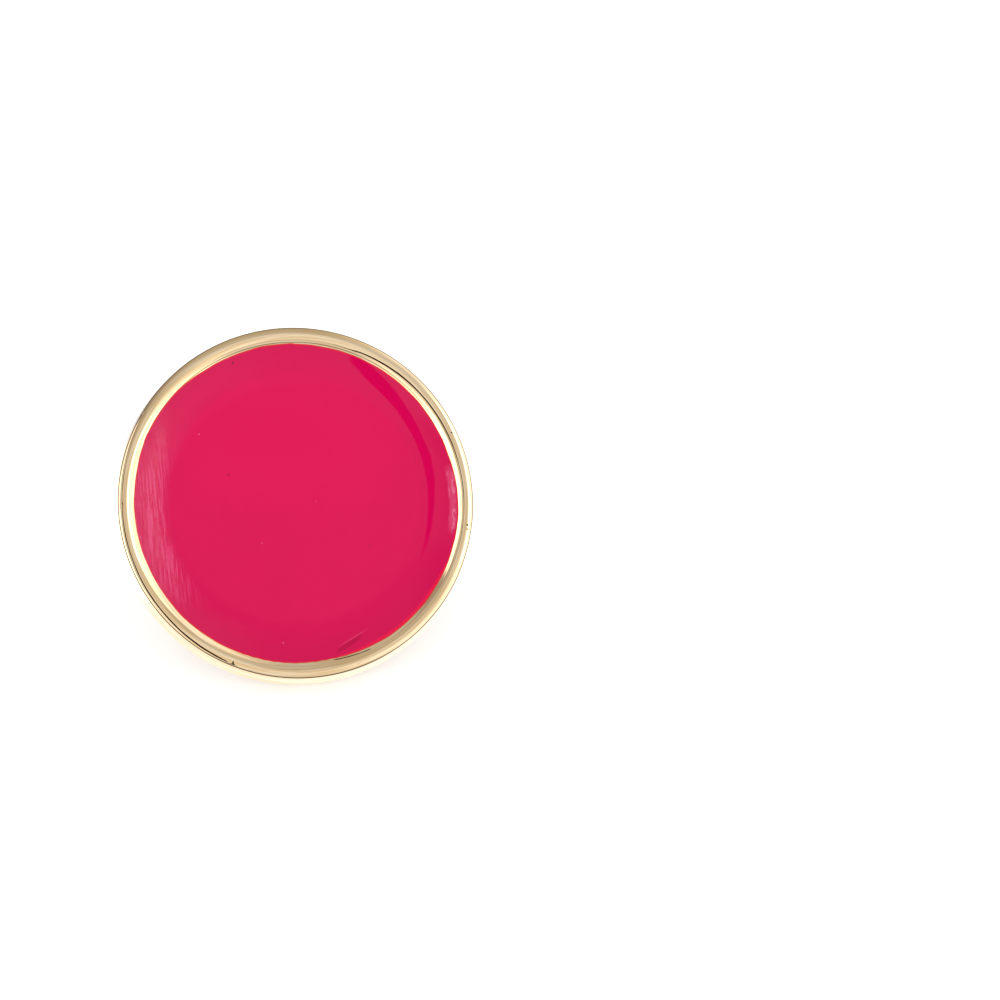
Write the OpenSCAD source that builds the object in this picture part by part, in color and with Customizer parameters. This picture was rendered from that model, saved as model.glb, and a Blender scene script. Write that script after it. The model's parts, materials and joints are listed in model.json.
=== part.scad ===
// Round button stud earring: a cast metal cup with a raised rim, filled with enamel,
// and a pad post for the ear set into its back.
// It lies as a stud does when it is put down: on the back edge of its cup and on the tip of its post,
// with the enamel facing forwards and up.
// X runs across the face, Y from the front to the back, and Z up from the surface that it lies on.
// The origin is on that surface, under the middle of the whole earring.
// Each piece is turned about its own axis first, with the face towards +Z and the cup's back at z = 0.

/* [Setting] */
// Diameter of the face, at the crease outside the raised rim
face_d = 24; // [20:0.5:30]
// Width of the raised rim, from its foot at the enamel to the crease
rim_w = 1.08; // [1:0.02:1.1]
// Radius of the rounded rim
rim_r = 0.72; // [0.7:0.02:0.9]
// How far the crest of the rim lies inside the crease
crest_inset = 0.44; // [0.44:0.02:0.5]
// Height of the side wall, from the back to the crease
wall_h = 2.1; // [2:0.1:3]
// How far the crease lies inside the widest part of the side wall
wall_flare = 0.2; // [0.1:0.02:0.4]
// Radius of the rounded back edge
back_edge_r = 0.36; // [0.2:0.02:0.5]
// Thickness of the back plate
plate_t = 0.7; // [0.6:0.05:0.7]

/* [Enamel] */
// How far the enamel's edge lies below the crease
edge_drop = 0.27; // [0.25:0.01:0.35]
// How far the enamel's flat middle lies below its edge
dish_depth = 0.7; // [0.5:0.05:0.75]
// Radius of the curve in which the enamel climbs to the metal
dish_curve_r = 3.2; // [2:0.1:5]
// Gap between the enamel and the metal
enamel_gap = 0.03; // [0.01:0.01:0.05]

/* [Ear post] */
// Diameter of the post
post_d = 0.8; // [0.7:0.05:1]
// Length of the post, from the cup's back to the tip
post_l = 10.5; // [9:0.5:12]
// Diameter of the pad at the foot of the post
pad_d = 5; // [4:0.5:8]
// Thickness of the pad
pad_t = 0.4; // [0.35:0.05:0.6]
// Depth of the round seat for the pad in the cup's back
seat_depth = 0.3; // [0.2:0.02:0.3]
// Gap between the pad and its seat, filled by the cement
seat_gap = 0.04; // [0.02:0.01:0.06]

/* [Hidden] */
$fn = 180;

crease_r = face_d / 2;
rim_foot_r = crease_r - rim_w;
crest_r = crease_r - crest_inset;
rim_arc_z = wall_h - sqrt(rim_r * rim_r - crest_inset * crest_inset);

// The back edge is a quarter round, and the wall slopes in from its widest point to the crease.
wall_r = crease_r + wall_flare;
back_arc_r = wall_r - back_edge_r;

enamel_r = rim_foot_r - enamel_gap;
enamel_base_z = plate_t + enamel_gap;
enamel_edge_z = wall_h - edge_drop;
dish_z = enamel_edge_z - dish_depth;
dish_flat_r = enamel_r - sqrt(dish_depth * (2 * dish_curve_r - dish_depth));

tip_r = post_d / 2;
tip_z = tip_r - post_l;
pad_top_z = seat_depth - seat_gap;

// The floor touches the arc of the back edge and the round tip of the post, which gives the lean of the face.
floor_rise = back_edge_r - tip_z;
lean = atan2(floor_rise, back_arc_r) - asin((back_edge_r - tip_r) / norm([back_arc_r, floor_rise]));
lift = tip_r - tip_z * cos(lean);
front_y = -(crease_r * cos(lean) + wall_h * sin(lean));
back_y = back_arc_r * cos(lean) + back_edge_r * (1 - sin(lean));

module laid_down() {
  translate([0, -(front_y + back_y) / 2, lift])
    rotate([lean, 0, 0])
      children();
}

// The slope of the wall runs on past the crease, and the circle of the rim cuts it off there.
module wall_and_rim_profile() {
  intersection() {
    polygon([
      [0, 0],
      [back_arc_r, 0],
      [back_arc_r, back_edge_r],
      [wall_r, back_edge_r],
      [2 * crease_r - wall_r, 2 * wall_h - back_edge_r],
      [0, 2 * wall_h - back_edge_r],
    ]);
    union() {
      square([2 * wall_r, rim_arc_z]);
      translate([crest_r, rim_arc_z])
        circle(r = rim_r);
    }
  }
}

module back_edge_profile() {
  intersection() {
    translate([back_arc_r, back_edge_r])
      circle(r = back_edge_r);
    translate([back_arc_r, -back_edge_r])
      square(2 * back_edge_r);
  }
}

module setting() {
  color([0.86, 0.70, 0.45])
    laid_down()
      difference() {
        union() {
          rotate_extrude()
            wall_and_rim_profile();
          rotate_extrude()
            back_edge_profile();
        }
        translate([0, 0, plate_t])
          cylinder(r = rim_foot_r, h = wall_h);
        translate([0, 0, -seat_depth])
          cylinder(d = pad_d + 2 * seat_gap, h = 2 * seat_depth);
      }
}

module enamel_fill() {
  color([0.87, 0.05, 0.33])
    laid_down()
      rotate_extrude() {
        translate([0, enamel_base_z])
          square([dish_flat_r, dish_z - enamel_base_z]);
        difference() {
          translate([dish_flat_r, enamel_base_z])
            square([enamel_r - dish_flat_r, wall_h - enamel_base_z]);
          translate([dish_flat_r, dish_z + dish_curve_r])
            circle(r = dish_curve_r);
        }
      }
}

module ear_post() {
  color([0.84, 0.72, 0.50])
    laid_down()
      union() {
        translate([0, 0, pad_top_z - pad_t])
          cylinder(d = pad_d, h = pad_t);
        translate([0, 0, tip_z])
          cylinder(r = tip_r, h = pad_top_z - pad_t / 2 - tip_z);
        translate([0, 0, tip_z])
          sphere(r = tip_r);
      }
}

setting();
enamel_fill();
ear_post();
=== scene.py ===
import json
import math

import bpy
import numpy as np
from mathutils import Matrix, Vector


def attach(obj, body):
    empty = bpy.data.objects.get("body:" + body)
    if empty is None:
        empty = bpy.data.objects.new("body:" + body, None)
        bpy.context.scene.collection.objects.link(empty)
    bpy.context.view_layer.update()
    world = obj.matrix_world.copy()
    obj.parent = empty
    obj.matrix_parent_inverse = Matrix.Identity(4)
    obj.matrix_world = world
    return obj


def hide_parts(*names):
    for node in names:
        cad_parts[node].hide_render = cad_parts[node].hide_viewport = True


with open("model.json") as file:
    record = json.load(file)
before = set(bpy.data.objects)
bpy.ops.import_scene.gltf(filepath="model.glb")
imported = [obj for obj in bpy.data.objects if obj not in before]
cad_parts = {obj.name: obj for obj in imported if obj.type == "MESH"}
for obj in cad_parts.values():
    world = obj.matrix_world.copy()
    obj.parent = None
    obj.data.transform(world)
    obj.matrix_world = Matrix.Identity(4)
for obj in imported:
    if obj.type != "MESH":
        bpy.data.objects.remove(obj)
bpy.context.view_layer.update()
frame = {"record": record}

# How the earring lies: a stud put down on a table leans on the back edge of its cup and on the
# tip of its post. Every piece below is turned on its own axis, with the face towards +Z and the
# cup's back at z = 0, in millimetres, and is then laid down.
MM = 0.001
mounts = {mount["name"]: mount for mount in frame["record"]["mounts"]}
cup_back = Vector((0, *mounts["ear_face"]["pos_m"][1:]))
face_normal = -Vector(mounts["ear_face"]["axis"])
lean = math.atan2(-face_normal.y, face_normal.z)
lay_down = Matrix.Translation(cup_back) @ Matrix.Rotation(lean, 4, "X") @ Matrix.Scale(MM, 4)


# Setting: a shallow zinc cup, cast in one piece with its rounded rim, then polished by turning
# it against a buff and plated with pale gold. Its back is as the casting left it.

# Radii from the cup's axis and heights from its back, in mm; the leans are in degrees.
wall_r = 12.2
back_edge_r = 0.36
cup_floor_z = 0.7
seat_r = 2.56
seat_h = 0.3
slope_low_r = 10.8
crest_r = 11.56
rim_z = 1.555
rim_r = 0.70
rim_edge_r = 0.025
rim_end_r = 11.945
rim_lean_in = -40.0
rim_lean_out = math.degrees(math.asin((rim_end_r - crest_r) / rim_r))
crease_r = 11.972
lip_r = 11.995
lip_z = 2.05
lip_round = 0.017


def add(tree, kind, inputs=None, **settings):
    """Adds a node with its settings; an input is a value, or another node's output to link."""
    made = tree.nodes.new(kind)
    for name, value in settings.items():
        setattr(made, name, value)
    for socket, value in (inputs or {}).items():
        if isinstance(value, bpy.types.NodeSocket):
            tree.links.new(value, made.inputs[socket])
        else:
            made.inputs[socket].default_value = value
    return made


def arc(r, z, radius, start, end, steps):
    """Points of an arc in a section; the angle is the lean of the surface away from the axis."""
    leans = np.radians(np.linspace(start, end, steps))
    return [(r + radius * math.sin(a), z + radius * math.cos(a)) for a in leans]


# The lathe sweeps a section round the axis, joins the points that meet on the axis, and can push
# the surface in and out by a faint ripple, as hand polishing does.
lathe = bpy.data.node_groups.new("turned piece", "GeometryNodeTree")
lathe.interface.new_socket("Section", in_out="INPUT", socket_type="NodeSocketGeometry")
for name, kind in [
    ("Spindle radius", "NodeSocketFloat"),
    ("Segments", "NodeSocketInt"),
    ("Ripple height", "NodeSocketFloat"),
    ("Ripples per mm", "NodeSocketFloat"),
    ("Finish", "NodeSocketMaterial"),
]:
    lathe.interface.new_socket(name, in_out="INPUT", socket_type=kind)
lathe.interface.new_socket("Piece", in_out="OUTPUT", socket_type="NodeSocketGeometry")
sizes = add(lathe, "NodeGroupInput").outputs
section_curve = add(lathe, "GeometryNodeMeshToCurve", {"Mesh": sizes["Section"]})
turn = add(lathe, "GeometryNodeCurvePrimitiveCircle", {
    "Resolution": sizes["Segments"], "Radius": sizes["Spindle radius"],
})
swept = add(lathe, "GeometryNodeCurveToMesh", {
    "Curve": turn.outputs["Curve"], "Profile Curve": section_curve.outputs["Curve"],
})
closed = add(lathe, "GeometryNodeMergeByDistance", {
    "Geometry": swept.outputs["Mesh"], "Distance": 2e-4,
})
place = add(lathe, "GeometryNodeInputPosition")
finer = add(lathe, "ShaderNodeVectorMath", {
    0: place.outputs["Position"], "Scale": sizes["Ripples per mm"],
}, operation="SCALE")
ripple = add(lathe, "ShaderNodeTexNoise", {
    "Vector": finer.outputs["Vector"], "Scale": 1.0, "Detail": 1.0, "Roughness": 0.4,
})
centred = add(lathe, "ShaderNodeMath", {
    0: ripple.outputs["Fac"], 1: 0.5,
}, operation="SUBTRACT")
height = add(lathe, "ShaderNodeMath", {
    0: centred.outputs["Value"], 1: sizes["Ripple height"],
}, operation="MULTIPLY")
outwards = add(lathe, "GeometryNodeInputNormal")
push = add(lathe, "ShaderNodeVectorMath", {
    0: outwards.outputs["Normal"], "Scale": height.outputs["Value"],
}, operation="SCALE")
waved = add(lathe, "GeometryNodeSetPosition", {
    "Geometry": closed.outputs["Geometry"], "Offset": push.outputs["Vector"],
})
smooth = add(lathe, "GeometryNodeSetShadeSmooth", {"Geometry": waved.outputs["Geometry"]})
real = add(lathe, "GeometryNodeRealizeInstances", {"Geometry": smooth.outputs["Geometry"]})
finished = add(lathe, "GeometryNodeSetMaterial", {
    "Geometry": real.outputs["Geometry"], "Material": sizes["Finish"],
})
add(lathe, "NodeGroupOutput", {"Piece": finished.outputs["Geometry"]})


def turned(name, section, spindle, segments, finish, ripple_height=0.0, ripples_per_mm=1.0):
    """Turns a section, given in mm from the axis outwards, into a plain mesh that isn't laid down yet."""
    line = bpy.data.meshes.new(name + "_section")
    line.from_pydata([(r - spindle, -z, 0) for r, z in section],
                     [(i, i + 1) for i in range(len(section) - 1)], [])
    blank = bpy.data.objects.new(name + "_section", line)
    bpy.context.scene.collection.objects.link(blank)
    chuck = blank.modifiers.new("lathe", "NODES")
    chuck.node_group = lathe
    given = {
        "Spindle radius": spindle, "Segments": segments, "Ripple height": ripple_height,
        "Ripples per mm": ripples_per_mm, "Finish": finish,
    }
    for socket in lathe.interface.items_tree:
        if socket.name in given:
            chuck[socket.identifier] = given[socket.name]
    evaluated = blank.evaluated_get(bpy.context.evaluated_depsgraph_get())
    piece = bpy.data.objects.new(name, bpy.data.meshes.new_from_object(evaluated))
    bpy.context.scene.collection.objects.link(piece)
    blank.modifiers.remove(chuck)
    bpy.data.objects.remove(blank)
    piece.data.name = name
    return piece


def linear(hex_colour):
    """An sRGB hex colour as linear RGBA."""
    parts = [int(hex_colour[i:i + 2], 16) / 255 for i in (1, 3, 5)]
    return (*(c / 12.92 if c <= 0.04045 else ((c + 0.055) / 1.055) ** 2.4 for c in parts), 1.0)


def on_the_face(tree):
    """Coordinates in mm on the piece as it was turned: x and y across the face, z along the axis."""
    place = add(tree, "ShaderNodeTexCoord")
    return add(tree, "ShaderNodeMapping", {
        "Vector": place.outputs["Object"], "Location": cup_back,
        "Rotation": (lean, 0, 0), "Scale": (MM, MM, MM),
    }, vector_type="TEXTURE").outputs["Vector"]


def laid(tree, *limits):
    """How much of a finish lies at a point, from 0 to 1: the product of its limits.

    A limit is another such share, or a soft step (value, start, end, low, high), which is low where
    the value is below start and high where it is above end; low and high are 0 and 1 if left out.
    """
    share = None
    for limit in limits:
        if isinstance(limit, tuple):
            value, start, end, low, high = (*limit, 0.0, 1.0)[:5]
            limit = add(tree, "ShaderNodeMapRange", {
                "Value": value, "From Min": start, "From Max": end, "To Min": low, "To Max": high,
            }, interpolation_type="SMOOTHSTEP").outputs["Result"]
        if share is None:
            share = limit
        else:
            share = add(tree, "ShaderNodeMath", {0: share, 1: limit}, operation="MULTIPLY").outputs["Value"]
    return share


def band(tree, value, middle, half_width):
    """1 on a line of a given width and 0 off it, with soft edges."""
    past = add(tree, "ShaderNodeMath", {0: value, 1: middle}, operation="SUBTRACT").outputs["Value"]
    off = add(tree, "ShaderNodeMath", {0: past}, operation="ABSOLUTE").outputs["Value"]
    return laid(tree, (off, half_width * 0.4, half_width * 1.6, 1.0, 0.0))


def coated(tree, surface, *coats):
    """The colour of a surface under coats of other colours, each (share, hex colour), laid in turn."""
    for share, colour in coats:
        surface = add(tree, "ShaderNodeMix", {
            0: share, 6: surface, 7: linear(colour),
        }, data_type="RGBA").outputs[2]
    return surface


# Polished pale gold plating: near to a mirror, so it shows the light tent as bright and dark bands.
# The buff leaves faint lines round the rim, and the unpolished back is a grainy satin.
gold = bpy.data.materials.new("polished pale gold plating on zinc")
gold.use_nodes = True
tree = gold.node_tree
tree.nodes.clear()
spot = on_the_face(tree)
flat_spot = add(tree, "ShaderNodeVectorMath", {0: spot, 1: (1, 1, 0)}, operation="MULTIPLY").outputs["Vector"]
radius = add(tree, "ShaderNodeVectorMath", {0: flat_spot}, operation="LENGTH").outputs["Value"]
way_out = add(tree, "ShaderNodeVectorMath", {0: flat_spot}, operation="NORMALIZE").outputs["Vector"]
split_way_out = add(tree, "ShaderNodeSeparateXYZ", {"Vector": way_out})
to_the_top = split_way_out.outputs["Y"]
along_axis = add(tree, "ShaderNodeSeparateXYZ", {"Vector": spot}).outputs["Z"]


def buff_lines(across, along):
    """Noise drawn out along the turning: lines are 1/across mm wide and last 1/along of a radian."""
    wide = add(tree, "ShaderNodeMath", {0: radius, 1: across}, operation="MULTIPLY")
    tall = add(tree, "ShaderNodeMath", {0: along_axis, 1: across}, operation="MULTIPLY")
    x = add(tree, "ShaderNodeMath", {0: split_way_out.outputs["X"], 1: along}, operation="MULTIPLY")
    y = add(tree, "ShaderNodeMath", {0: to_the_top, 1: along}, operation="MULTIPLY")
    joined = add(tree, "ShaderNodeCombineXYZ", {
        "X": x.outputs["Value"], "Y": y.outputs["Value"], "Z": wide.outputs["Value"],
    })
    return add(tree, "ShaderNodeTexNoise", {
        "Vector": joined.outputs["Vector"], "W": tall.outputs["Value"], "Scale": 1.0,
        "Detail": 2.0, "Roughness": 0.6,
    }, noise_dimensions="4D").outputs["Fac"]


def facing(degrees):
    """How nearly a point of the rim lies at a heading on the face: the cosine of the angle between."""
    side = (math.cos(math.radians(degrees)), math.sin(math.radians(degrees)), 0)
    return add(tree, "ShaderNodeVectorMath", {0: way_out, 1: side}, operation="DOT_PRODUCT").outputs["Value"]


# Real buff lines are some 0.02 mm wide, too fine to show, so these are drawn 0.11 and 0.22 mm wide.
fine_lines = buff_lines(9.0, 3.0)
broad_lines = buff_lines(4.5, 1.6)
lines = add(tree, "ShaderNodeBump", {"Strength": 1.0, "Distance": 0.0022 * MM, "Height": fine_lines})

# The grain of the casting is about 0.17 mm across, which shows as it is.
cast_grain = add(tree, "ShaderNodeTexNoise", {"Vector": spot, "Scale": 6.0, "Detail": 4.0, "Roughness": 0.6})
on_the_back = laid(tree, (along_axis, 0.1, 0.5, 1.0, 0.0))
grain = add(tree, "ShaderNodeBump", {
    "Strength": on_the_back, "Distance": 0.02 * MM, "Height": cast_grain.outputs["Fac"],
    "Normal": lines.outputs["Normal"],
})
polish = laid(tree, (broad_lines, 0.35, 0.65, 0.025, 0.05))
satin = laid(tree, on_the_back, 0.36)
rough = add(tree, "ShaderNodeMath", {0: polish, 1: satin}, operation="MAXIMUM").outputs["Value"]
both_lines = add(tree, "ShaderNodeMath", {0: fine_lines, 1: broad_lines}, operation="ADD").outputs["Value"]
streaks = laid(tree, both_lines, 0.5)
plating = coated(tree, linear("#ffe6c0"), (laid(tree, (streaks, 0.4, 0.6)), "#efcd9b"))

# Painted shade: a dark brown is painted into the crease, heavier at one side, and along the foot of
# the rim's inner slope at the top. Three pits near the rim's crest have caught dirt, and a broken dark
# line low on the inner slope is a painted dark reflection.
on_the_front = laid(tree, (along_axis, 1.7, 1.8))
heavier_crease_shade = laid(tree, band(tree, radius, 11.95, 0.055), (facing(158), 0.974, 0.996))
crease_shade = add(tree, "ShaderNodeMath", {
    0: band(tree, radius, crease_r, 0.03), 1: heavier_crease_shade,
}, operation="MAXIMUM").outputs["Value"]
foot_shade = laid(tree, band(tree, radius, 11.015, 0.024), (to_the_top, 0.4, 0.6))
painted_shade = add(tree, "ShaderNodeMath", {0: crease_shade, 1: foot_shade}, operation="MAXIMUM").outputs["Value"]
painted_shade = laid(tree, painted_shade, 0.75, on_the_front)
# A broken dark line low on the right of the inner slope, painted as a painted dark reflection.
painted_dash_line = add(tree, "ShaderNodeMath", {
    0: split_way_out.outputs["X"], 1: 0.545, 2: 10.94,
}, operation="MULTIPLY_ADD").outputs["Value"]
pits_and_painted_dashes = laid(
    tree, band(tree, radius, painted_dash_line, 0.035), (facing(284.8), 0.992, 0.995), (fine_lines, 0.4, 0.5),
)
for middle, pit_r in [((11.43, -2.5, 0), 0.09), ((11.4, -2.78, 0), 0.07), ((10.95, 3.92, 0), 0.06)]:
    away = add(tree, "ShaderNodeVectorMath", {0: flat_spot, 1: middle}, operation="DISTANCE").outputs["Value"]
    pit = laid(tree, (away, pit_r * 0.5, pit_r * 1.4, 0.9, 0.0))
    pits_and_painted_dashes = add(tree, "ShaderNodeMath", {0: pits_and_painted_dashes, 1: pit}, operation="MAXIMUM").outputs["Value"]
# Painted shade: the outer flank at the top is painted darker and browner.
upper_flank_shade = laid(tree, (radius, 11.64, 11.85), (to_the_top, 0.75, 0.92))
surface = coated(
    tree, plating, (upper_flank_shade, "#e6c692"), (painted_shade, "#5c431d"), (laid(tree, pits_and_painted_dashes, on_the_front), "#3a260e"),
    (on_the_back, "#b8986a"),
)
shader = add(tree, "ShaderNodeBsdfPrincipled", {
    "Base Color": surface, "Metallic": 1.0, "Roughness": rough, "Normal": grain.outputs["Normal"],
})
add(tree, "ShaderNodeOutputMaterial", {"Surface": shader.outputs["BSDF"]})

slope_r, slope_z = arc(crest_r, rim_z, rim_r, rim_lean_in, rim_lean_in, 1)[0]


def slope_height(r):
    """Height of the rim's straight inner slope, which the enamel climbs."""
    return slope_z - (slope_r - r) * math.tan(math.radians(-rim_lean_in))


# The section runs from the middle of the cup's floor up its inner side, over the rim, through the
# crease with its fine lip, down the flared wall and back to the middle of the pad's seat.
rim_turn = math.radians(rim_lean_out)
rim_end_z = rim_z + rim_r * math.cos(rim_turn)
crease_edge = (rim_end_r - rim_edge_r * math.sin(rim_turn), rim_end_z - rim_edge_r * math.cos(rim_turn))
wall_top_r = lip_r + lip_round
setting_section = [
    (0, cup_floor_z), (4, cup_floor_z), (8, cup_floor_z), (slope_low_r - 0.06, cup_floor_z),
    (slope_low_r, cup_floor_z + 0.06), (slope_low_r, 1.6),
    *[(r, slope_height(r)) for r in np.linspace(slope_low_r, slope_r, 8)[:-1]],
    *arc(crest_r, rim_z, rim_r, rim_lean_in, rim_lean_out, 62),
    *arc(*crease_edge, rim_edge_r, rim_lean_out, 95, 6)[1:],
    (crease_r - 0.01, lip_z + 0.005), (crease_r, lip_z - 0.015), (crease_r + 0.008, lip_z - 0.005),
    *arc(lip_r, lip_z, lip_round, -60, 83.65, 8),
    *[(wall_top_r + t * (wall_r - wall_top_r), lip_z + t * (back_edge_r - lip_z))
      for t in (0.1, 0.3, 0.5, 0.7, 0.9)],
    *arc(wall_r - back_edge_r, back_edge_r, back_edge_r, 88, 180, 14),
    (11.2, 0), (9, 0), (6, 0),
    (seat_r + 0.04, 0), (seat_r + 0.01, 0.005), (seat_r, 0.02), (seat_r, seat_h - 0.03),
    (seat_r - 0.03, seat_h), (1.5, seat_h), (0, seat_h),
]
segments = 640
setting = turned(
    "cup_setting", setting_section, crest_r, segments, gold, ripple_height=0.004, ripples_per_mm=0.9,
)

# Small dents in the rim: each one's heading on the face in degrees, then how far from the axis it
# is, how deep and how wide, in mm.
dents = [
    (243, 11.74, 0.03, 0.12), (176.8, 11.75, 0.013, 0.09), (145.8, 11.82, 0.01, 0.1),
    (285, 11.72, 0.012, 0.1),
]
places = np.empty(len(setting.data.vertices) * 3)
setting.data.vertices.foreach_get("co", places)
places = places.reshape(-1, 3)
on_the_rim = places[:, 2] > 1.6
for dent_heading, dent_r, deep, wide in dents:
    angle = math.radians(dent_heading)
    off = places[:, :2] - (dent_r * math.cos(angle), dent_r * math.sin(angle))
    places[:, 2] -= np.where(on_the_rim, deep * np.exp(-(off ** 2).sum(axis=1) / wide ** 2), 0)
setting.data.vertices.foreach_set("co", places.ravel())
setting.data.update()
setting.data.transform(lay_down)
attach(setting, "root")
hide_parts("setting")

# Enamel: opaque pink cold enamel, poured into the cup and cured. It wets the metal, so it climbs
# to the rim all round and dries as a shallow dish with a high gloss.

# Glossy cold enamel: a deep, even pink under a hard, clear gloss that mirrors the tent faintly. Painted
# shade darkens it where the dish turns up, and painted light and reflection from the gold warm its edge.
enamel = bpy.data.materials.new("glossy pink cold enamel")
enamel.use_nodes = True
tree = enamel.node_tree
tree.nodes.clear()
spot = on_the_face(tree)
flat_spot = add(tree, "ShaderNodeVectorMath", {0: spot, 1: (1, 1, 0)}, operation="MULTIPLY").outputs["Vector"]
radius = add(tree, "ShaderNodeVectorMath", {0: flat_spot}, operation="LENGTH").outputs["Value"]


def patch(middle, half_size, turn=0.0, hard=0.6):
    """1 inside an oval on the face and 0 outside it; sizes in mm, the turn in degrees."""
    oval = add(tree, "ShaderNodeMapping", {
        "Vector": flat_spot, "Location": (*middle, 0), "Rotation": (0, 0, math.radians(turn)),
        "Scale": (*half_size, 1),
    }, vector_type="TEXTURE")
    away = add(tree, "ShaderNodeVectorMath", {0: oval.outputs["Vector"]}, operation="LENGTH").outputs["Value"]
    return laid(tree, (away, hard, 1.0 + (1.0 - hard) * 0.5, 1.0, 0.0))


# The pigment clouds the pool over some 3 mm, and the colour is a little lighter over the upper middle
# of the dish. A ring of painted shade darkens it where the dish turns up.
cloud = add(tree, "ShaderNodeTexNoise", {"Vector": spot, "Scale": 0.35, "Detail": 6.0, "Roughness": 0.65})
from_pool = add(tree, "ShaderNodeVectorMath", {
    0: flat_spot, 1: (0, 0.5, 0),
}, operation="DISTANCE").outputs["Value"]
turned_up_shade = add(tree, "ShaderNodeMath", {
    0: laid(tree, (from_pool, 8.35, 8.6, 0.0, 0.3)), 1: laid(tree, (from_pool, 8.8, 11.2, 0.0, 0.7)),
}, operation="ADD").outputs["Value"]
# Painted light: warm light from the gold is painted into the enamel's edge, wider low on the right.
gold_glow = add(tree, "ShaderNodeAttribute", attribute_name="gold_glow").outputs["Fac"]
# A painted reflection of the gold turns the last 0.09 mm of the edge orange-red.
gold_reflection_edge = add(tree, "ShaderNodeAttribute", attribute_name="gold_reflection_edge").outputs["Fac"]
tint = coated(
    tree, linear("#da0352"),
    (laid(tree, (cloud.outputs["Fac"], 0.3, 0.7)), "#dd0554"),
    (patch((0.5, 4.5), (8.5, 5.0), 0, 0.3), "#e20455"),
    (patch((-1.3, 5.0), (5.6, 2.6), -4, 0.3), "#e00052"),
    (turned_up_shade, "#d30551"),
    (laid(tree, (gold_glow, 0.0, 0.6)), "#ec1049"),
    (laid(tree, (gold_reflection_edge, 0.0, 0.8)), "#d63a1e"),
)

# Specks of dust under the gloss, dark and light, each 0.08 to 0.2 mm across. Low on the right a
# drag mark dried dark, and a lighter line above it is a painted highlight along its ridge.
for middle, speck_r, colour in [
    ((-3.4, 9.89), 0.09, "#8c0a3a"), ((-4.32, 2.37), 0.1, "#c00548"), ((4.78, -3.23), 0.07, "#c00548"),
    ((-1.68, -9.4), 0.05, "#f06a92"), ((-2.48, -2.47), 0.045, "#ec5a86"), ((-6.07, 5.29), 0.06, "#ec5a86"),
    ((1.42, 0.08), 0.04, "#ea4f7e"),
]:
    tint = coated(tree, tint, (patch(middle, (speck_r, speck_r)), colour))
tint = coated(
    tree, tint,
    (patch((2.72, -9.86), (1.12, 0.17), 30, 0.8), "#bf0046"),
    (patch((3.05, -9.44), (1.2, 0.06), 27), "#e02a63"),
)

# Froth against the rim at the right: burst bubbles 0.3 mm wide that ran to 0.9 mm long.
drawn_out = add(tree, "ShaderNodeVectorMath", {0: flat_spot, 1: (3.2, 1.1, 1.0)}, operation="MULTIPLY")
froth = add(tree, "ShaderNodeTexVoronoi", {
    "Vector": drawn_out.outputs["Vector"], "Scale": 1.0, "Randomness": 1.0,
}, feature="F1")
in_froth = laid(tree, band(tree, radius, 10.66, 0.2), patch((10.6, -0.6), (1.0, 2.3), 0, 0.7))
froth_rings = laid(tree, band(tree, froth.outputs["Distance"], 0.42, 0.1), in_froth)
# Lighter pink is painted on the rings and round them, as a painted highlight of the bubbles.
bubble_highlight = add(tree, "ShaderNodeMath", {
    0: laid(tree, froth_rings, 0.5), 1: laid(tree, in_froth, 0.27),
}, operation="ADD").outputs["Value"]
tint = coated(tree, tint, (bubble_highlight, "#f4789f"))

# Wipe marks at the left, where a cloth took off the spill. Real ones are finer than 0.05 mm, so
# these are drawn 0.13 mm wide, and 2 mm long.
drawn_along = add(tree, "ShaderNodeVectorMath", {0: spot, 1: (7.5, 0.5, 1.0)}, operation="MULTIPLY")
wipe_marks = add(tree, "ShaderNodeTexNoise", {
    "Vector": drawn_along.outputs["Vector"], "Scale": 1.0, "Detail": 3.0, "Roughness": 0.5,
}).outputs["Fac"]
wiped_side = laid(tree, patch((-10, -1.2), (4.5, 6.0), 0, 0.5), (radius, 8.1, 8.9))
# A lighter pink is painted in streaks over them, as a painted highlight.
painted_highlight_streaks = laid(
    tree, wiped_side, (wipe_marks, 0.48, 0.6, 0.0, 0.42), (radius, 8.5, 9.3), (radius, 10.1, 10.6, 1.0, 0.4),
)
tint = coated(tree, tint, (painted_highlight_streaks, "#f0508c"))

# The cured skin sags by microns over 1.25 mm.
sag = add(tree, "ShaderNodeTexNoise", {"Vector": spot, "Scale": 0.8, "Detail": 2.0, "Roughness": 0.5})
skin = add(tree, "ShaderNodeBump", {"Strength": 1.0, "Distance": 0.004 * MM, "Height": sag.outputs["Fac"]})
wipes = add(tree, "ShaderNodeBump", {
    "Strength": wiped_side, "Distance": 0.02 * MM, "Height": wipe_marks, "Normal": skin.outputs["Normal"],
})
bubbles = add(tree, "ShaderNodeBump", {
    "Strength": 1.0, "Distance": 0.02 * MM, "Height": froth_rings, "Normal": wipes.outputs["Normal"],
})
shader = add(tree, "ShaderNodeBsdfPrincipled", {
    "Base Color": tint, "Roughness": 0.04, "IOR": 1.5, "Specular IOR Level": 0.23,
    "Normal": bubbles.outputs["Normal"],
})
add(tree, "ShaderNodeOutputMaterial", {"Surface": shader.outputs["BSDF"]})

enamel_mid_z = 1.13
enamel_reach = 11.12
enamel_back_z = 0.74
climb_from = 7.6
short_climb_from = 8.3


def climb(t):
    """Share of the rise that the pool has made at a share t of its way to the metal."""
    steps = np.linspace(0, 1.3, 1301)
    slope = 1 - np.exp(-((2.07 * steps) ** 1.5))
    risen = np.cumsum(slope)
    return np.interp(t, steps, risen / risen[1000])


def near_heading(heading, middle, full, none):
    """1 within `full` degrees of a heading on the face, 0 beyond `none`, smooth between."""
    off = np.abs((heading - middle + 180) % 360 - 180)
    t = np.clip((none - off) / (none - full), 0, 1)
    return t * t * (3 - 2 * t)


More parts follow.
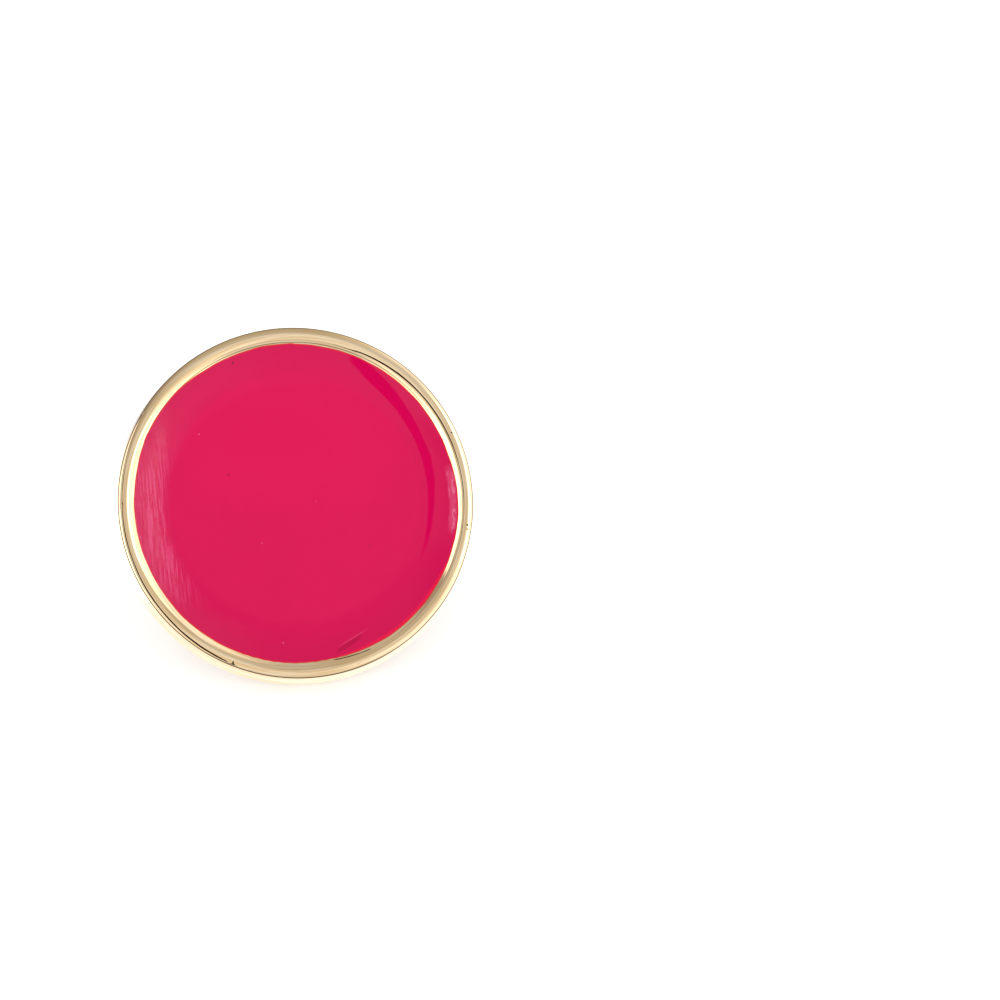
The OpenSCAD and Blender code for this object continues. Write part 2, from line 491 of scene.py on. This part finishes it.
# The pool is turned flat first, with rings that get closer towards the metal.
enamel_rs = [enamel_reach * (1 - (1 - t) ** 1.6) for t in np.linspace(0, 1, 110)]
enamel_section = [
    *[(r, 1.5) for r in enamel_rs],
    (enamel_reach, 1.45), (10.9, 1.2), (10.8, 0.76), (10.78, enamel_back_z),
    (8, enamel_back_z), (4, enamel_back_z), (0, enamel_back_z),
]
fill = turned("enamel_pool", enamel_section, 9.0, segments, enamel)
places = np.empty(len(fill.data.vertices) * 3)
fill.data.vertices.foreach_get("co", places)
places = places.reshape(-1, 3)
on_top = places[:, 2] > 1.49
r = np.hypot(places[:, 0], places[:, 1])
heading = np.degrees(np.arctan2(places[:, 1], places[:, 0]))

# Then its edge is set: how many mm further up the metal it crept, about which heading, full over
# how many degrees to each side and gone beyond how many. The rest is its slight unevenness.
edge_r = 10.92
for creep, middle, full, none in [
    (0.11, -34, 24, 50), (0.03, 93, 4, 12), (0.1, 142, 8, 26), (0.03, 152, 0.8, 2.2),
    (0.06, 241, 20, 32), (0.02, 86.7, 0.4, 1.6),
]:
    edge_r = edge_r + creep * near_heading(heading, middle, full, none)
edge_r = edge_r + 0.005 * np.sin(np.radians(heading * 23)) + 0.005 * np.sin(np.radians(heading * 41 + 70))
edge_r = edge_r + 0.012 * np.sin(np.radians(heading * 97)) * near_heading(heading, 264, 14, 24)

# Last comes the dish. It rises all the way from climb_from, and later and evenly at the upper
# right, where the pool hugs the middle.
rise = slope_height(edge_r) - enamel_mid_z
hug = np.where(heading > 56, near_heading(heading, 56, 14, 27), near_heading(heading, 56, 18, 50))
long_way = climb((r - climb_from) / (edge_r - climb_from))
short_way = np.clip((r - short_climb_from) / (edge_r - short_climb_from), 0, 2) ** 2
pool = enamel_mid_z + rise * ((1 - hug) * long_way + hug * short_way)
places[:, 2] = np.where(on_top, pool, places[:, 2])
fill.data.vertices.foreach_set("co", places.ravel())
fill.data.update()
# Widths in mm of the painted warm light and the painted gold reflection at the enamel's edge.
gold_glow_wide = 0.11 + 0.24 * near_heading(heading, -52, 14, 32)
gold_reflection_edge_wide = 0.09
for name, wide in [("gold_glow", gold_glow_wide), ("gold_reflection_edge", gold_reflection_edge_wide)]:
    share = np.clip(1 - (edge_r - r) / wide, 0, 1)
    fill.data.attributes.new(name, "FLOAT", "POINT").data.foreach_set("value", share)
fill.data.transform(lay_down)
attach(fill, "root")
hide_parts("enamel_fill")

# Ear post: a pad with a round-tipped wire, drawn in steel, plated like the cup and cemented into
# a seat in the cup's back.

# Plated drawn wire: a soft sheen with fine lines along it, left by the die. Real ones are 0.01 to
# 0.02 mm apart, so these are drawn 0.05 mm apart, and 1.25 mm long.
wire = bpy.data.materials.new("gold plated steel wire")
wire.use_nodes = True
tree = wire.node_tree
tree.nodes.clear()
spot = on_the_face(tree)
drawn = add(tree, "ShaderNodeVectorMath", {0: spot, 1: (22, 22, 0.8)}, operation="MULTIPLY")
die_marks = add(tree, "ShaderNodeTexNoise", {
    "Vector": drawn.outputs["Vector"], "Scale": 1.0, "Detail": 2.0,
})
marks = add(tree, "ShaderNodeBump", {
    "Strength": 1.0, "Distance": 0.0015 * MM, "Height": die_marks.outputs["Fac"],
})
shader = add(tree, "ShaderNodeBsdfPrincipled", {
    "Base Color": linear("#fbdaa6"), "Metallic": 1.0, "Roughness": 0.22, "Normal": marks.outputs["Normal"],
})
add(tree, "ShaderNodeOutputMaterial", {"Surface": shader.outputs["BSDF"]})

# The section runs from the middle of the pad's front over its rounded edge to its back, through
# the fillet and down the wire to the middle of its tip.
pad_r = 2.5
pad_edge_r = 0.06
pad_front_z = 0.26
pad_back_z = -0.14
fillet_r = 0.22
wire_r = 0.4
wire_tip_z = -10.5
post_section = [
    (0, pad_front_z), (1.2, pad_front_z), (2.2, pad_front_z),
    *arc(pad_r - pad_edge_r, pad_front_z - pad_edge_r, pad_edge_r, 0, 90, 6),
    *arc(pad_r - pad_edge_r, pad_back_z + pad_edge_r, pad_edge_r, 90, 180, 6),
    (1.4, pad_back_z),
    *arc(wire_r + fillet_r, pad_back_z - fillet_r, -fillet_r, 180, 90, 8),
    *[(wire_r, z) for z in np.linspace(-0.5, -10.0, 12)],
    *arc(0, wire_tip_z + wire_r, wire_r, 90, 180, 14),
]
post = turned("ear_post_wire", post_section, 0.5, 96, wire)
post.data.transform(lay_down)
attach(post, "root")
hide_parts("ear_post")

# Floor: a plain white table, lit from below as well as from above. What stands on it beyond the
# picture shows only in the metal: a brighter card at each side, and a dark stand near the camera.

# White table: matt and even. Rays from a glossy surface meet a glow instead, which gives the metal
# its white, its bright ends and the stand's dark streak.
table_top = bpy.data.materials.new("white light table")
table_top.use_nodes = True
tree = table_top.node_tree
tree.nodes.clear()
lit = add(tree, "ShaderNodeBsdfPrincipled", {
    "Base Color": (0.72, 0.72, 0.72, 1.0), "Roughness": 0.9, "Specular IOR Level": 0.0,
    "Emission Color": (1.0, 1.0, 1.0, 1.0), "Emission Strength": 0.5,
})
place = add(tree, "ShaderNodeTexCoord")
towards = add(tree, "ShaderNodeVectorMath", {
    0: place.outputs["Object"],
}, operation="NORMALIZE").outputs["Vector"]
towards_parts = add(tree, "ShaderNodeSeparateXYZ", {"Vector": towards})
sideways = add(tree, "ShaderNodeMath", {0: towards_parts.outputs["X"]}, operation="ABSOLUTE").outputs["Value"]
cards = laid(tree, (sideways, 0.35, 0.8, 0.75, 1.8))

# The table is brighter close to the cup, over an oval as wide as the cup and 1.26 times narrower
# from front to back.
narrower = 1.26
near_cup_level = 1.22
on_table = add(tree, "ShaderNodeMapping", {
    "Vector": place.outputs["Object"], "Scale": (MM, MM / narrower, MM),
}, vector_type="TEXTURE")
away = add(tree, "ShaderNodeVectorMath", {0: on_table.outputs["Vector"]}, operation="LENGTH").outputs["Value"]
near_cup = laid(tree, (away, wall_r, 13.6, 1.0, 0.0))
seen = add(tree, "ShaderNodeMix", {
    "Factor": near_cup, 2: cards, 3: near_cup_level,
}, data_type="FLOAT").outputs[0]

# The stand is 16.5 degrees left of straight ahead and begins 110 mm off.
stand_at = math.radians(-16.5)
stand_side = (math.sin(stand_at), -math.cos(stand_at), 0)
stand_level = 0.02
at_stand = add(tree, "ShaderNodeVectorMath", {
    0: towards, 1: stand_side,
}, operation="DOT_PRODUCT").outputs["Value"]
stand = laid(tree, (at_stand, 0.996, 0.9978), (away, 110, 150))
seen = add(tree, "ShaderNodeMix", {
    "Factor": stand, 2: seen, 3: stand_level,
}, data_type="FLOAT").outputs[0]
glow = add(tree, "ShaderNodeEmission", {"Strength": seen})
path = add(tree, "ShaderNodeLightPath")
shader = add(tree, "ShaderNodeMixShader", {
    0: path.outputs["Is Glossy Ray"], 1: lit.outputs["BSDF"], 2: glow.outputs["Emission"],
})
add(tree, "ShaderNodeOutputMaterial", {"Surface": shader.outputs["Shader"]})
floor_mesh = bpy.data.meshes.new("floor")
floor_mesh.from_pydata([(-1, -1, 0), (1, -1, 0), (1, 1, 0), (-1, 1, 0)], [], [(0, 1, 2, 3)])
floor_mesh.materials.append(table_top)
floor = bpy.data.objects.new("floor", floor_mesh)
bpy.context.scene.collection.objects.link(floor)

# Camera: a long lens from the photograph's side, turned a little so that the earring stands left
# of the middle.
azimuth = math.radians(-6.92)
elevation = math.radians(38.6)
to_camera = Vector((
    math.sin(azimuth) * math.cos(elevation), -math.cos(azimuth) * math.cos(elevation),
    math.sin(elevation),
))
camera_right = Vector((math.cos(azimuth), math.sin(azimuth), 0))
camera_up = to_camera.cross(camera_right)
lens = 150.0
sensor = 36.0
pixels = 1000

# The middle of the cup's front, 2.1 mm from its back, lies at this pixel, and this is its scale.
front_z = 2.1
front_at = (296.4, 501.75)
pixels_per_mm = 14.83
ray = Vector((
    (front_at[0] - pixels / 2) / pixels * sensor / lens,
    (pixels / 2 - front_at[1]) / pixels * sensor / lens,
    -1,
))
front_middle = lay_down @ Vector((0, 0, front_z))
depth = pixels * lens / (sensor * pixels_per_mm) * MM
facing_middle = Matrix((camera_right, camera_up, to_camera)).transposed().to_quaternion()
camera_data = bpy.data.cameras.new("camera")
camera_data.lens = lens
camera_data.sensor_width = sensor
camera_data.clip_start = 0.01
camera_data.clip_end = 10
camera = bpy.data.objects.new("camera", camera_data)
camera.rotation_mode = "QUATERNION"
camera.rotation_quaternion = facing_middle @ ray.rotation_difference(Vector((0, 0, -1)))
camera.location = front_middle + to_camera * depth * ray.length
bpy.context.scene.collection.objects.link(camera)
bpy.context.scene.camera = camera

# Light: a white tent with a soft box on each side. The metal and the gloss show its panels, and
# matt surfaces get its even light.
tent = bpy.data.worlds.new("light tent")
tent.use_nodes = True
tree = tent.node_tree
tree.nodes.clear()
sky = add(tree, "ShaderNodeTexCoord")
to_tent = Matrix((camera_right, camera_up, to_camera)).to_euler("XYZ")
aim = add(tree, "ShaderNodeMapping", {
    "Vector": sky.outputs["Generated"], "Rotation": to_tent,
}, vector_type="VECTOR")
aim_parts = add(tree, "ShaderNodeSeparateXYZ", {"Vector": aim.outputs["Vector"]})
off_axis = add(tree, "ShaderNodeVectorMath", {0: aim.outputs["Vector"], 1: (1, 1, 0)}, operation="MULTIPLY")
unit = add(tree, "ShaderNodeVectorMath", {0: off_axis.outputs["Vector"]}, operation="NORMALIZE")
swing = add(tree, "ShaderNodeMath", {0: aim_parts.outputs["Z"]}, operation="ARCCOSINE")
degrees = add(tree, "ShaderNodeMath", {0: swing.outputs["Value"], 1: 180 / math.pi}, operation="MULTIPLY")
bearing = add(tree, "ShaderNodeVectorMath", {
    0: unit.outputs["Vector"], "Scale": degrees.outputs["Value"],
}, operation="SCALE")

# Each panel: middle right of and above the camera's axis, half sizes and slant in degrees,
# whether it is an oval, how soft its edge is, and its brightness. Each lies over those before it.
cloth_level = 0.58
panels = [
    # The front of the tent round the camera, and a dimmer strip across it.
    (10, -6, 38, 33, 0, False, 0.10, 0.86),
    (4, 20, 34, 8, 0, False, 0.3, 0.72),
    # A dim corner of the tent, and reflector cards low at both sides.
    (-44, 50, 18, 18, 0, False, 0.4, 0.38),
    (62, -32, 40, 28, 0, False, 0.3, 1.15),
    (-38, -24, 30, 18, 0, False, 0.4, 1.02),
    # The left soft box with a dim gap over it, then the top and the right one.
    (-70, 2.5, 27, 46, 0, False, 0.1, 2.1),
    (-47, 55, 11, 9.5, 0, False, 0.3, 0.38),
    (75, 80, 48, 32, 0, False, 0.35, 1.1),
    (73, 18, 42, 37, 0, True, 0.28, 1.65),
    # A strip light at the right, and two dark legs of the camera's stand.
    (43.4, 22, 3.8, 20, 6, True, 0.6, 4.7),
    (-21, 12, 3.6, 18, -7, True, 0.25, 0.02),
    (-17.4, -10, 6.6, 28, 8, True, 0.12, 0.02),
]
brightness = cloth_level
for x, y, half_w, half_h, slant, oval, soft, level in panels:
    inside = add(tree, "ShaderNodeMapping", {
        "Vector": bearing.outputs["Vector"], "Location": (x, y, 0),
        "Rotation": (0, 0, math.radians(slant)), "Scale": (half_w, half_h, 1),
    }, vector_type="TEXTURE").outputs["Vector"]
    if oval:
        away = add(tree, "ShaderNodeVectorMath", {0: inside}, operation="LENGTH").outputs["Value"]
    else:
        sides = add(tree, "ShaderNodeVectorMath", {0: inside}, operation="ABSOLUTE")
        sides = add(tree, "ShaderNodeSeparateXYZ", {"Vector": sides.outputs["Vector"]})
        away = add(tree, "ShaderNodeMath", {
            0: sides.outputs["X"], 1: sides.outputs["Y"],
        }, operation="MAXIMUM").outputs["Value"]
    brightness = add(tree, "ShaderNodeMix", {
        "Factor": laid(tree, (away, 1 - soft, 1 + soft, 1.0, 0.0)), 2: brightness, 3: level,
    }, data_type="FLOAT").outputs[0]

# The dimmer parts are warm, as the dark bands in the photo's gold are browner than the bright ones.
warmth = coated(tree, linear("#ffc98f"), (laid(tree, (brightness, 0.0, 0.56)), "#ffffff"))
shown = add(tree, "ShaderNodeBackground", {"Color": warmth, "Strength": brightness})
even = add(tree, "ShaderNodeBackground", {"Color": (1, 1, 1, 1), "Strength": 1.0})
path = add(tree, "ShaderNodeLightPath")
both = add(tree, "ShaderNodeMixShader", {
    0: path.outputs["Is Glossy Ray"], 1: even.outputs["Background"], 2: shown.outputs["Background"],
})
add(tree, "ShaderNodeOutputWorld", {"Surface": both.outputs["Shader"]})
bpy.context.scene.world = tent
bpy.context.scene.view_settings.view_transform = "Standard"
